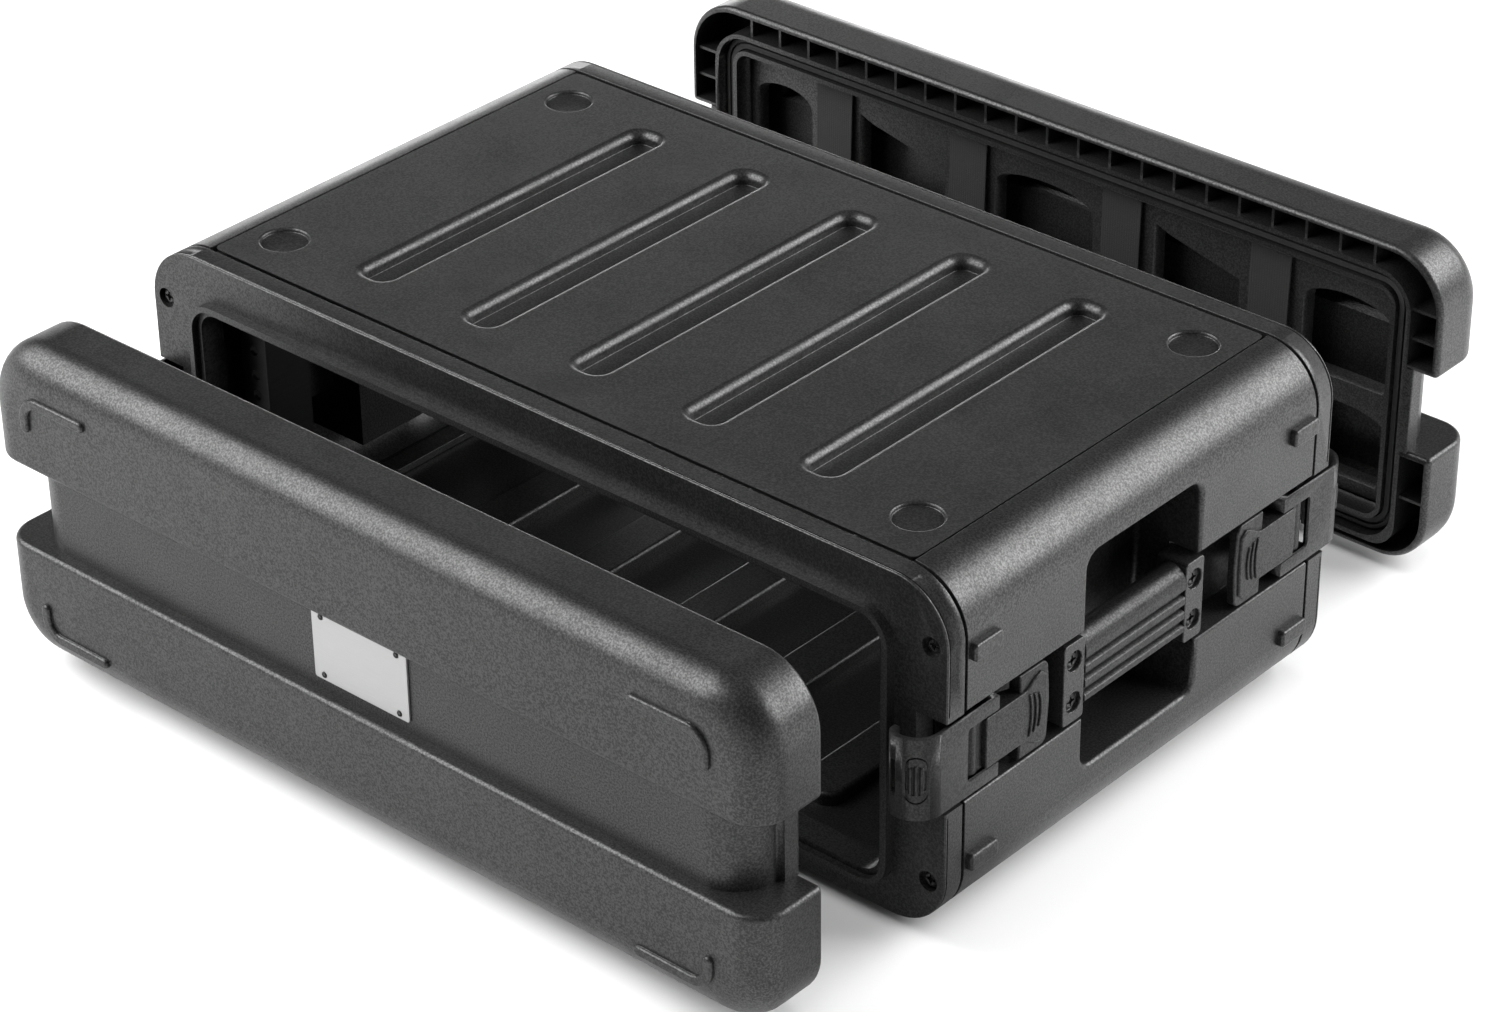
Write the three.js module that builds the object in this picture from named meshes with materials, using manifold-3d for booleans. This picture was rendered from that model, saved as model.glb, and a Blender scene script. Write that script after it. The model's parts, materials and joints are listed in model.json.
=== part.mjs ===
// Three-unit equipment rack case with its front and rear covers lifted off.
// Millimetres, +Z up, +X to the right-hand side, -Y to the front. Pieces are drawn with x = 0 at
// the middle, y = 0 at the body's front face and z = 0 at its underside, and place() moves them.
import * as THREE from 'three';
import { mergeVertices } from 'three/addons/utils/BufferGeometryUtils.js';
import Module from 'manifold-3d';

// Body
const BODY_HALF = 285.5;      // half width over the side shells
const BODY_H = 204.4;
const BODY_D = 325.4;
const FRAME_T = 13.9;         // thickness of each end frame
const TOP_R = 34;             // upper corner radius
const BOTTOM_R = 34;          // lower corner radius
const WALL = 4;
const GAP = 0.3;              // gap between neighbouring pieces
const PANEL_HALF = 251.1;     // half width of the top and bottom panels
const FOOT_H = 5;
// Opening for the equipment: three rack units high
const OPEN_HALF = 245;
const OPEN_Z0 = 21.4;
const OPEN_Z1 = 174;
const LIP_OUT = 6;            // how far the lip round the opening stands out
const LIP_STEP = 2.2;         // the lip's inner bead, lower than its outer wall
// Latch channel along each side
const CHANNEL_Z0 = 76;
const CHANNEL_Z1 = 130;
const CHANNEL_X = 266;
// Handle recess in each side
const WELL_Y0 = 112;
const WELL_Y1 = 208;
const WELL_Z0 = 44;
const WELL_Z1 = 174;
const WELL_X = 244;
const GRIP_Y0 = 111.6;
const GRIP_Y1 = 196.9;
const BRACKETS = { front: [94, 111.2], rear: [197.3, 213] };
const BRACKET_Z0 = 79;
const BRACKET_Z1 = 127.5;
const BRACKET_SCREW_Z = { upper: 116, lower: 91 };
// Rack rails
const RAIL_HOLE_X = 232.55;   // half of the 465.1 mm hole spacing
const UNIT = 44.45;
const RAIL_Y = 24;
const RAIL_SHEET = 2;
// Screws and feet
const SCREW_X = 275;
const FRAME_SCREW_Z = { upper: 171, lower: 31 };
const HEAD_R = 5;
const SHANK_R = 2.4;
const BORE_R = 2.8;
const FOOT_X = 227;           // feet below, and the dimples above that take them
const FOOT_Y = 48;
const FOOT_R = 13.6;
const DIMPLE_R = 14.5;
const DIMPLE_DEPTH = 2.5;
// Grooves in the top and bottom panels
const GROOVE_PITCH = 80;
const GROOVE_HALF = 12;
const GROOVE_Y0 = 47;
const GROOVE_DEPTH = 7;
// Latches
const PIN = [279, 24];        // lever pivot, fixed to the body
const PIN_R = 2.5;
const LINK = [276, 36.5];     // strap pivot, on the lever
const LINK_R = 2.1;
const LATCH_Z = 103;          // middle height of every latch
const STRAP_HALF = 24;
const WINDOW_HALF = 16;       // window in the strap that the lever stands in
const NECK_HALF = 15;
const HEAD_HALF = 25.2;
// Covers, measured in from the rim plane
const COVER_HALF = 278;
const COVER_Z0 = 4;
const COVER_Z1 = 202;
const COVER_D = 46;
const WAIST_D = 37.5;         // the waist band lies back from the bumpers
const WAIST_Z0 = 77;
const WAIST_Z1 = 129;
const CORE_HALF = 258;
const CORE_Z0 = 10;
const CORE_Z1 = 186;
const EDGE_R = 20;            // rounding of the bumpers' outer edges at the top and ends
const LOWER_EDGE_R = 24;      // and along the bottom
const SKIN = 3.5;
const RIB_PITCH = 23;
const RIB_HALF = 0.9;
const SIDE_RIB_Z = [45, 148, 166];
const MARK_W = 6;             // raised corner marks
const MARK_OUT = 2.2;
// Liner in the rear cover: two rows of pockets in columns, with a flat strap between each two columns
const LINER_HALF = 241.5;
const LINER_Z0 = 26.5;
const LINER_Z1 = 169.5;
const COLUMNS = [[-236, -192], [-152, -86], [-46, 26], [72, 132], [178, 236]];
const POCKET_ROWS = [[36, 82], [98, 150]];
const STRAP_X = [-171, -66, 49, 155];
const STRAP_W = 28;
const FRONT_RIM_Y = -84;      // where the covers stand when lifted off
const REAR_RIM_Y = 441;
// Row frame: middle of the whole thing, standing on its feet
const SHIFT_Y = -(FRONT_RIM_Y - COVER_D + REAR_RIM_Y + COVER_D) / 2;
const SHIFT_Z = FOOT_H;

const wasm = await Module();
wasm.setup();

// ---- helpers -------------------------------------------------------------

function toSolid(geometry) {
  const g = geometry.clone();
  g.deleteAttribute('normal');
  g.deleteAttribute('uv');
  const m = mergeVertices(g, 1e-4);
  const mesh = new wasm.Mesh({
    numProp: 3,
    vertProperties: new Float32Array(m.attributes.position.array),
    triVerts: new Uint32Array(m.index.array),
  });
  return new wasm.Manifold(mesh);
}

function toGeometry(solid) {
  const mesh = solid.getMesh();
  const g = new THREE.BufferGeometry();
  g.setAttribute('position', new THREE.BufferAttribute(new Float32Array(mesh.vertProperties), 3));
  g.setIndex(new THREE.BufferAttribute(new Uint32Array(mesh.triVerts), 1));
  return g;
}

// Sweeps an outline from a to b: its two coordinates are x, z along y, y, z along x and x, y along z.
function extrude(points, a, b, axis) {
  const shape = new THREE.Shape(points.map(([u, v]) => new THREE.Vector2(u, v)));
  const g = new THREE.ExtrudeGeometry(shape, { depth: b - a, bevelEnabled: false });
  const m = new THREE.Matrix4();
  if (axis === 'y') m.set(1, 0, 0, 0, 0, 0, -1, b, 0, 1, 0, 0, 0, 0, 0, 1);
  else if (axis === 'x') m.set(0, 0, 1, a, 1, 0, 0, 0, 0, 1, 0, 0, 0, 0, 0, 1);
  else m.makeTranslation(0, 0, a);
  g.applyMatrix4(m);
  return toSolid(g);
}

function box(x0, x1, y0, y1, z0, z1) {
  const g = new THREE.BoxGeometry(x1 - x0, y1 - y0, z1 - z0);
  g.translate((x0 + x1) / 2, (y0 + y1) / 2, (z0 + z1) / 2);
  return toSolid(g);
}

function cylinder(cx, cy, cz, r, length, axis, sides = 12) {
  const g = new THREE.CylinderGeometry(r, r, length, sides);
  if (axis === 'z') g.rotateX(Math.PI / 2);
  if (axis === 'x') g.rotateZ(Math.PI / 2);
  g.translate(cx, cy, cz);
  return toSolid(g);
}

function arc(cx, cy, r, from, to, steps) {
  const out = [];
  for (let i = 0; i <= steps; i++) {
    const a = THREE.MathUtils.degToRad(from + (to - from) * i / steps);
    out.push([cx + r * Math.cos(a), cy + r * Math.sin(a)]);
  }
  return out;
}

// Rounded rectangle, its two upper and two lower corners of their own radius.
function rounded(u0, u1, v0, v1, rTop, rBottom, steps = 4) {
  return [
    ...arc(u0 + rBottom, v0 + rBottom, rBottom, 180, 270, steps),
    ...arc(u1 - rBottom, v0 + rBottom, rBottom, 270, 360, steps),
    ...arc(u1 - rTop, v1 - rTop, rTop, 0, 90, steps),
    ...arc(u0 + rTop, v1 - rTop, rTop, 90, 180, steps),
  ];
}

// Skin through convex rings of equal point count, each at its own y.
function loft(rings) {
  const n = rings[0].points.length;
  const pos = [];
  const index = [];
  rings.forEach((ring) => ring.points.forEach(([x, z]) => pos.push(x, ring.y, z)));
  for (let k = 0; k + 1 < rings.length; k++) {
    for (let i = 0; i < n; i++) {
      const a = k * n + i;
      const b = k * n + (i + 1) % n;
      index.push(a, b, b + n, a, b + n, a + n);
    }
  }
  const last = (rings.length - 1) * n;
  for (let i = 1; i + 1 < n; i++) {
    index.push(0, i + 1, i);
    index.push(last, last + i, last + i + 1);
  }
  const g = new THREE.BufferGeometry();
  g.setAttribute('position', new THREE.Float32BufferAttribute(pos, 3));
  if (rings[0].y < rings[1].y) index.reverse();
  g.setIndex(index);
  return toSolid(g);
}

function add(...solids) {
  return solids.reduce((a, b) => a.add(b));
}

function cut(solid, ...others) {
  return others.reduce((a, b) => a.subtract(b), solid);
}

// Mirror image of a geometry about a plane square to an axis (0 = x, 1 = y).
function mirrored(geometry, axis, centre) {
  const g = geometry.clone();
  const p = g.attributes.position;
  for (let i = 0; i < p.count; i++) p.setComponent(i, axis, 2 * centre - p.getComponent(i, axis));
  const index = g.index.array;
  for (let i = 0; i < index.length; i += 3) [index[i], index[i + 1]] = [index[i + 1], index[i]];
  return g;
}

const object = new THREE.Group();
object.name = 'rack_case';

function place(name, geometry, material) {
  const g = geometry.clone();
  g.translate(0, SHIFT_Y, SHIFT_Z);
  g.computeVertexNormals();
  const mesh = new THREE.Mesh(g, material);
  mesh.name = name;
  object.add(mesh);
}

function plain(color, roughness, metalness = 0) {
  return new THREE.MeshStandardMaterial({ color, roughness, metalness });
}

const shellMat = plain(0x2b2c2e, 0.55);
const latchMat = plain(0x303134, 0.5);
const rubberMat = plain(0x151515, 0.85);
const steelMat = plain(0x8d9094, 0.35, 1);
const zincMat = plain(0x2a2a2c, 0.4, 0.8);
const plateMat = plain(0xb9bcc0, 0.3, 1);
const fabricMat = plain(0x222326, 0.95);
const linerMat = plain(0x3a3b3d, 0.8);

// Places a front right piece and its mirror images at the other three corners.
function fourCorners(name, geometry, material) {
  const mid = BODY_D / 2;
  place(`front_right_${name}`, geometry, material);
  place(`front_left_${name}`, mirrored(geometry, 0, 0), material);
  place(`rear_right_${name}`, mirrored(geometry, 1, mid), material);
  place(`rear_left_${name}`, mirrored(mirrored(geometry, 0, 0), 1, mid), material);
}

function bothSides(name, geometry, material) {
  place(`right_${name}`, geometry, material);
  place(`left_${name}`, mirrored(geometry, 0, 0), material);
}

// ---- end frames ----------------------------------------------------------

function endFrame() {
  const ease = 2.5;
  const outline = (inset) => rounded(
    -BODY_HALF + inset, BODY_HALF - inset, inset, BODY_H - inset, TOP_R - inset, BOTTOM_R - inset, 6);
  let f = loft([
    { y: 0, points: outline(ease) },
    { y: 0.8, points: outline(0.9) },
    { y: ease, points: outline(0) },
    { y: FRAME_T, points: outline(0) },
  ]);
  // lip round the opening: a tall outer wall and a low inner bead
  const opening = (wider, y0, y1) => {
    const half = OPEN_HALF + wider;
    const radius = 12 + wider;
    return extrude(rounded(-half, half, OPEN_Z0 - wider, OPEN_Z1 + wider, radius, radius), y0, y1, 'y');
  };
  f = add(f, opening(7.2, -LIP_OUT, 1));
  f = cut(f, opening(3.7, -LIP_OUT - 1, -LIP_STEP));
  f = cut(f, opening(0, -LIP_OUT - 1, FRAME_T + 1));
  // side notches where the latch straps pass
  f = cut(f, box(CHANNEL_X, 300, -8, 20, CHANNEL_Z0, CHANNEL_Z1));
  f = cut(f, box(-300, -CHANNEL_X, -8, 20, CHANNEL_Z0, CHANNEL_Z1));
  for (const sx of [-1, 1]) {
    for (const z of Object.values(FRAME_SCREW_Z)) {
      f = cut(f, cylinder(sx * SCREW_X, 0, z, HEAD_R + 1.2, 7, 'y'));
      f = cut(f, cylinder(sx * SCREW_X, 8, z, BORE_R, 20, 'y', 8));
    }
  }
  return f;
}

const frameGeometry = toGeometry(endFrame());
place('front_frame', frameGeometry, shellMat);
place('rear_frame', mirrored(frameGeometry, 1, BODY_D / 2), shellMat);

function screw(x, y, z, axis) {
  const head = cylinder(0, 0, 0, HEAD_R, 2.4, 'y');
  const shank = cylinder(0, 5.4, 0, SHANK_R, 9, 'y', 8);
  const g = toGeometry(add(head, shank));
  if (axis === 'x') g.rotateZ(Math.PI / 2);
  g.translate(x, y, z);
  return g;
}

for (const [level, z] of Object.entries(FRAME_SCREW_Z)) {
  fourCorners(`${level}_frame_screw`, screw(SCREW_X, 2.3, z, 'y'), zincMat);
}

// ---- top and bottom panels -----------------------------------------------

const PANEL_Y0 = FRAME_T + GAP + 0.8;
const PANEL_Y1 = BODY_D - PANEL_Y0;

function panel() {
  const top = BODY_H;
  let p = box(-PANEL_HALF, PANEL_HALF, PANEL_Y0, PANEL_Y1, top - WALL, top);
  const y1 = BODY_D - GROOVE_Y0;
  for (let i = -2; i <= 2; i++) {
    const x = i * GROOVE_PITCH;
    const rib = rounded(x - GROOVE_HALF - 3, x + GROOVE_HALF + 3, GROOVE_Y0 - 3, y1 + 3, 10, 10, 2);
    p = add(p, extrude(rib, top - WALL - GROOVE_DEPTH, top - 1, 'z'));
    const groove = rounded(x - GROOVE_HALF, x + GROOVE_HALF, GROOVE_Y0, y1, 8, 8, 3);
    p = cut(p, extrude(groove, top - GROOVE_DEPTH, top + 1, 'z'));
  }
  for (const x of [-FOOT_X, FOOT_X]) {
    for (const y of [FOOT_Y, BODY_D - FOOT_Y]) {
      p = cut(p, cylinder(x, y, top, DIMPLE_R, 2 * DIMPLE_DEPTH, 'z', 18));
    }
  }
  return p;
}

const topPanel = toGeometry(panel());
place('top_panel', topPanel, shellMat);
const bottomPanel = topPanel.clone();
bottomPanel.rotateY(Math.PI);
bottomPanel.translate(0, 0, BODY_H);
place('bottom_panel', bottomPanel, shellMat);

const FOOT_IN = DIMPLE_DEPTH - GAP;
const foot = cylinder(FOOT_X, FOOT_Y, (FOOT_IN - FOOT_H) / 2, FOOT_R, FOOT_H + FOOT_IN, 'z', 18);
fourCorners('foot', toGeometry(foot), rubberMat);

// ---- side shells -----------------------------------------------------------

const SHELL_X0 = PANEL_HALF + GAP;

function sideShell() {
  const y0 = FRAME_T + GAP;
  const y1 = BODY_D - y0;
  const wallX = BODY_HALF - WALL;
  const topC = [BODY_HALF - TOP_R, BODY_H - TOP_R];
  const botC = [BODY_HALF - BOTTOM_R, BOTTOM_R];
  const section = [
    [SHELL_X0, BODY_H - WALL], [SHELL_X0, 200.1], [243, 200.1], [243, 195.6], [257, 195.6],
    ...arc(...topC, TOP_R - WALL, 70, 0, 6),
    [wallX, CHANNEL_Z1 + WALL], [CHANNEL_X - WALL, CHANNEL_Z1 + WALL],
    [CHANNEL_X - WALL, CHANNEL_Z0 - WALL], [wallX, CHANNEL_Z0 - WALL],
    ...arc(...botC, BOTTOM_R - WALL, 0, -70, 5),
    [257, 8.8], [243, 8.8], [243, 4.3], [SHELL_X0, 4.3], [SHELL_X0, 0],
    ...arc(...botC, BOTTOM_R, -90, 0, 6),
    [BODY_HALF, CHANNEL_Z0], [CHANNEL_X, CHANNEL_Z0], [CHANNEL_X, CHANNEL_Z1], [BODY_HALF, CHANNEL_Z1],
    ...arc(...topC, TOP_R, 0, 89.5, 8),
    [SHELL_X0, BODY_H],
  ].reverse();
  section.shift();
  let s = extrude(section, y0, y1, 'y');
  // handle well: a tub behind the grip, open to the outside
  const tubZ = [WELL_Z0 - WALL, WELL_Z1 + WALL - 1];
  s = add(s, box(WELL_X - WALL, wallX + 1, WELL_Y0 - WALL, WELL_Y1 + WALL, ...tubZ));
  s = cut(s, extrude(rounded(WELL_Y0, WELL_Y1, WELL_Z0, WELL_Z1, 8, 8, 3), WELL_X, 300, 'x'));
  s = cut(s, box(CHANNEL_X, 300, y0 - 1, y1 + 1, CHANNEL_Z0, CHANNEL_Z1));
  // small raised pads near the corners
  for (const y of [28, BODY_D - 28]) {
    for (const z of [38, 164]) {
      s = add(s, extrude(rounded(y - 11, y + 11, z - 5, z + 5, 3, 3, 2), BODY_HALF - 1, BODY_HALF + 4, 'x'));
    }
  }
  return s;
}

bothSides('side_shell', toGeometry(sideShell()), shellMat);

// ---- handles ---------------------------------------------------------------

function grip() {
  const section = [
    [286, 86], [286, 91], [284, 92], [284, 94], [286, 95], [286, 100], [284, 101], [284, 103],
    [286, 104], [286, 109], [284, 110], [284, 112], [286, 113],
    ...arc(277, 117.5, 9, 0, 180, 8),
    [268, 86],
  ];
  return extrude(section, GRIP_Y0, GRIP_Y1, 'y');
}

function bracket(y0, y1) {
  let b = extrude(rounded(y0, y1, BRACKET_Z0, BRACKET_Z1, 2, 2, 2), CHANNEL_X + GAP, 285.6, 'x');
  const y = (y0 + y1) / 2;
  for (const z of Object.values(BRACKET_SCREW_Z)) {
    b = cut(b, cylinder(285.6, y, z, HEAD_R + 1, 6, 'x'));
    b = cut(b, cylinder(278, y, z, BORE_R, 22, 'x', 8));
  }
  return b;
}

bothSides('handle_grip', toGeometry(grip()), latchMat);
for (const [end, [y0, y1]] of Object.entries(BRACKETS)) {
  bothSides(`handle_${end}_bracket`, toGeometry(bracket(y0, y1)), shellMat);
  for (const [level, z] of Object.entries(BRACKET_SCREW_Z)) {
    bothSides(`handle_${end}_${level}_screw`, screw(283.9, (y0 + y1) / 2, z, 'x'), zincMat);
  }
}

// ---- rack rails ------------------------------------------------------------

function rail() {
  const z0 = OPEN_Z0 + 4;
  const z1 = OPEN_Z1 - 4;
  const webX = 243.4;
  const footY = RAIL_Y + 46;
  const section = [
    [223, RAIL_Y], [webX, RAIL_Y], [webX, footY], [261.6, footY], [261.6, footY + RAIL_SHEET],
    [webX - RAIL_SHEET, footY + RAIL_SHEET], [webX - RAIL_SHEET, RAIL_Y + RAIL_SHEET],
    [223, RAIL_Y + RAIL_SHEET],
  ];
  let r = extrude(section, z0, z1, 'z');
  const middle = (OPEN_Z0 + OPEN_Z1) / 2;
  for (let unit = -1; unit <= 1; unit++) {
    for (const offset of [-15.875, 0, 15.875]) {
      r = cut(r, cylinder(RAIL_HOLE_X, RAIL_Y + 1, middle + unit * UNIT + offset, 3.2, 6, 'y', 6));
    }
  }
  return r;
}

fourCorners('rack_rail', toGeometry(rail()), steelMat);

// ---- latches ---------------------------------------------------------------

// Band of full width 2 * half about the latches' middle height.
const across = (half) => [LATCH_Z - half, LATCH_Z + half];

function lever() {
  const barrel = cylinder(...PIN, LATCH_Z, 6, 2 * NECK_HALF, 'z', 14);
  const neck = extrude([
    [274, 24], [280, 22], [284.6, 24], [285.8, 30], [285.8, 63], [278.5, 63], [275, 52], [271.5, 40],
    [272, 33]], ...across(NECK_HALF), 'z');
  const head = extrude(rounded(59, 83, ...across(HEAD_HALF), 5, 5, 3), 277.5, 285.8, 'x');
  const lift = extrude([[277.5, 83.5], [277.5, 70], [281, 83.5]], 70, 140, 'z');
  let l = cut(add(barrel, neck, head), lift);
  for (let i = 0; i < 3; i++) {
    const y = 64 + i * 5;
    l = add(l, box(285, 287.3, y, y + 2.4, ...across(12 - i)));
  }
  l = cut(l, cylinder(...PIN, LATCH_Z, PIN_R + GAP, 60, 'z'));
  return cut(l, cylinder(...LINK, LATCH_Z, LINK_R + 0.35, 60, 'z'));
}

function strap() {
  const hook = [
    [286, 41], ...arc(270, -4, 16, 0, -90, 5), ...arc(268, -14.5, 5.5, -90, -180, 3), [262.5, -12],
    [265.5, -12], ...arc(268, -14.5, 2.5, 180, 270, 2), ...arc(270, -4, 13, -90, 0, 4), [283, 41],
  ];
  const [z0, z1] = across(STRAP_HALF);
  const [window0, window1] = across(WINDOW_HALF);
  let s = extrude(hook, z0, z1, 'z');
  s = cut(s, box(280, 290, 16.5, 50, window0, window1));
  const ear = [[284, 31], [284, 41], [276, 41], [272.6, 39.5], [271.6, 36.5], [272.6, 33.5], [276, 31]];
  s = add(s, extrude(ear, z0, window0, 'z'), extrude(ear, window1, z1, 'z'));
  s = add(s, cylinder(...LINK, LATCH_Z, LINK_R, 40, 'z'));
  // narrow slot and finger pad on the hook
  s = cut(s, box(266, 270, -30, -10, ...across(10)));
  const pad = toGeometry(extrude(rounded(-5, 5, ...across(12), 5, 5, 3), 0, 1.6, 'x'));
  pad.rotateZ(-Math.PI / 4);
  pad.translate(270 + 15.4 * Math.SQRT1_2, -4 - 15.4 * Math.SQRT1_2, 0);
  return add(s, toSolid(pad));
}

fourCorners('latch_lever', toGeometry(lever()), latchMat);
fourCorners('latch_strap', toGeometry(strap()), latchMat);
const pinLength = CHANNEL_Z1 - CHANNEL_Z0 - 2 * GAP;
fourCorners('latch_pin', toGeometry(cylinder(...PIN, LATCH_Z, PIN_R, pinLength, 'z')), steelMat);

// ---- covers ----------------------------------------------------------------

// The cover is modelled with its rim at y = 0 and its outer face at y = -COVER_D.
function bumperBlock(inset, depth, steps, cornerSteps) {
  const start = depth - (LOWER_EDGE_R - inset);
  const ring = (a, b) => rounded(
    -COVER_HALF + inset + a, COVER_HALF - inset - a, COVER_Z0 + inset + b, COVER_Z1 - inset - a,
    36 - inset - a * 0.5, 30 - inset - b * 0.5, cornerSteps);
  // how far an edge of radius r has turned in at a given depth
  const turned = (r, at) => {
    const past = Math.max(at - (depth - r), 0);
    return r - Math.sqrt(Math.max(r * r - past * past, 0));
  };
  const rings = [{ y: inset > 0 ? 2 : 0, points: ring(0, 0) }];
  for (let i = 0; i <= steps; i++) {
    const at = start + (depth - start) * Math.sin(i / steps * Math.PI / 2);
    rings.push({ y: -at, points: ring(turned(EDGE_R - inset, at), turned(LOWER_EDGE_R - inset, at)) });
  }
  return loft(rings);
}

function coverShell() {
  const all = [-400, 400, -100, 10];
  const upper = box(...all, WAIST_Z1, 400);
  const lower = box(...all, -100, WAIST_Z0);
  const block = bumperBlock(0, COVER_D, 5, 6);
  const waistPlan = [
    [-CORE_HALF, 0], ...arc(-CORE_HALF + 25, -WAIST_D + 25, 25, 180, 270, 6),
    ...arc(CORE_HALF - 25, -WAIST_D + 25, 25, 270, 360, 6), [CORE_HALF, 0],
  ];
  let c = add(block.intersect(upper), block.intersect(lower), extrude(waistPlan, 70, 136, 'z'));
  // rim flange that the latch hooks pull on
  c = add(c, box(-262, 262, -10, 0, WAIST_Z0 - 1, WAIST_Z1 + 1));
  // hollow between the outer skin and the ring wall, above and below the waist
  const inner = bumperBlock(SKIN, COVER_D - SKIN, 3, 4);
  const core = extrude(rounded(-CORE_HALF, CORE_HALF, CORE_Z0, CORE_Z1, 24, 16), -60, 10, 'y');
  const upperHollow = cut(inner.intersect(box(...all, WAIST_Z1 + SKIN, 400)), core);
  const lowerHollow = cut(inner.intersect(box(...all, -100, WAIST_Z0 - SKIN)), core);
  c = cut(c, upperHollow, lowerHollow);
  // stiffening ribs across the hollow
  let ribs = box(-RIB_HALF, RIB_HALF, -30, -3, CORE_Z1 - 2, COVER_Z1);
  for (let i = 1; i <= 10; i++) {
    for (const x of [-i * RIB_PITCH, i * RIB_PITCH]) {
      ribs = add(ribs, box(x - RIB_HALF, x + RIB_HALF, -30, -3, CORE_Z1 - 2, COVER_Z1));
    }
  }
  for (const z of SIDE_RIB_Z) {
    ribs = add(ribs, box(-COVER_HALF, 2 - CORE_HALF, -24, -3, z - RIB_HALF, z + RIB_HALF));
    ribs = add(ribs, box(CORE_HALF - 2, COVER_HALF, -24, -3, z - RIB_HALF, z + RIB_HALF));
  }
  c = add(c, ribs.intersect(bumperBlock(SKIN / 2, COVER_D, 3, 4)));
  // groove for the gasket, with the inner ring wall a little lower than the rim
  const ring = (half, z0, z1, r) => rounded(-half, half, z0, z1, r, r);
  const island = extrude(ring(246, 22, 174, 12), -20, 8, 'y');
  const groove = cut(extrude(ring(255, 13, 183, 20), -12.3, 6, 'y'), island);
  c = cut(c, groove, extrude(ring(247, 21, 175, 12), -3, 6, 'y'));
  // pan, deeper behind the bumpers than behind the waist
  const pan = extrude(ring(243, 25, 171, 9), -WAIST_D + SKIN, 6, 'y');
  const deep = extrude(ring(232, 30, 171, 9), -COVER_D + SKIN, 0, 'y');
  c = cut(c, pan, deep.intersect(box(...all, WAIST_Z1 + SKIN, 163)));
  c = cut(c, deep.intersect(box(...all, 0, WAIST_Z0 - SKIN)));
  for (const side of [-1, 1]) c = add(c, cornerMark(side, 177, 154), cornerMark(side, 22, 44));
  return c;
}

// Raised mark on a bumper: a bar that turns a rounded corner at cornerZ and ends at endZ.
function cornerMark(side, cornerZ, endZ) {
  const up = Math.sign(endZ - cornerZ);
  const half = MARK_W / 2;
  const turn = 14;
  const x1 = 247;
  const outline = [
    ...arc(x1 - half, Math.abs(endZ - cornerZ) - half, half, 0, 180, 4),
    ...arc(x1 - turn, turn, turn - MARK_W, 0, -90, 4),
    ...arc(195 + half, half, half, 90, 270, 4),
    ...arc(x1 - turn, turn, turn, -90, 0, 4),
  ].map(([x, z]) => [side * x, cornerZ + up * z]);
  return extrude(outline, -COVER_D - MARK_OUT, -COVER_D + 2, 'y');
}

function gasket() {
  const outer = extrude(rounded(-254.5, 254.5, 13.5, 182.5, 19.5, 19.5), -12, -6, 'y');
  return cut(outer, extrude(rounded(-246.5, 246.5, 21.5, 174.5, 12.5, 12.5), -20, 0, 'y'));
}

// The liner is in two panels that meet behind the third strap.
function liner(from, to) {
  let l = extrude(rounded(-LINER_HALF, LINER_HALF, LINER_Z0, LINER_Z1, 8, 8), -24, -15, 'y');
  for (const [x0, x1] of COLUMNS) {
    for (const [z0, z1] of POCKET_ROWS) l = cut(l, box(x0, x1, -30, 0, z0, z1));
  }
  return cut(l, box(-300, from, -30, 0, 0, BODY_H), box(to, 300, -30, 0, 0, BODY_H));
}

// A cover is turned end for end to serve at the rear.
function atFront(geometry) {
  return geometry.clone().translate(0, FRONT_RIM_Y, 0);
}

function atRear(geometry) {
  return mirrored(geometry, 1, 0).translate(0, REAR_RIM_Y, 0);
}

const coverGeometry = toGeometry(coverShell());
const gasketGeometry = toGeometry(gasket());
place('front_cover_shell', atFront(coverGeometry), shellMat);
place('front_cover_gasket', atFront(gasketGeometry), rubberMat);
const plateBack = -WAIST_D - GAP;
const plateSolid = extrude(rounded(-34.5, 34.5, 84, 126, 2, 2, 2), plateBack - 1.2, plateBack, 'y');
place('name_plate', atFront(toGeometry(plateSolid)), plateMat);
place('rear_cover_shell', atRear(coverGeometry), shellMat);
place('rear_cover_gasket', atRear(gasketGeometry), rubberMat);
const seam = STRAP_X[2];
place('rear_cover_left_liner', atRear(toGeometry(liner(-290, seam - GAP / 2))), linerMat);
place('rear_cover_right_liner', atRear(toGeometry(liner(seam + GAP / 2, 290))), linerMat);
STRAP_X.forEach((x, i) => {
  const strapBox = box(x - STRAP_W / 2, x + STRAP_W / 2, -14.6, -13, LINER_Z0 + 0.5, LINER_Z1 - 0.5);
  place(`liner_strap_${i + 1}`, atRear(toGeometry(strapBox)), fabricMat);
});

export default object;
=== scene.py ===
"""Three-unit equipment rack case with its two covers lifted off: looks, light and camera.

Shapes are drawn in case millimetres: x from the middle, y back from the body's front face, z up
from the body's underside. place() moves them into the frame, which is in metres.
"""
import json
import math

import bmesh
import bpy
from mathutils import Matrix, Vector

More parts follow.
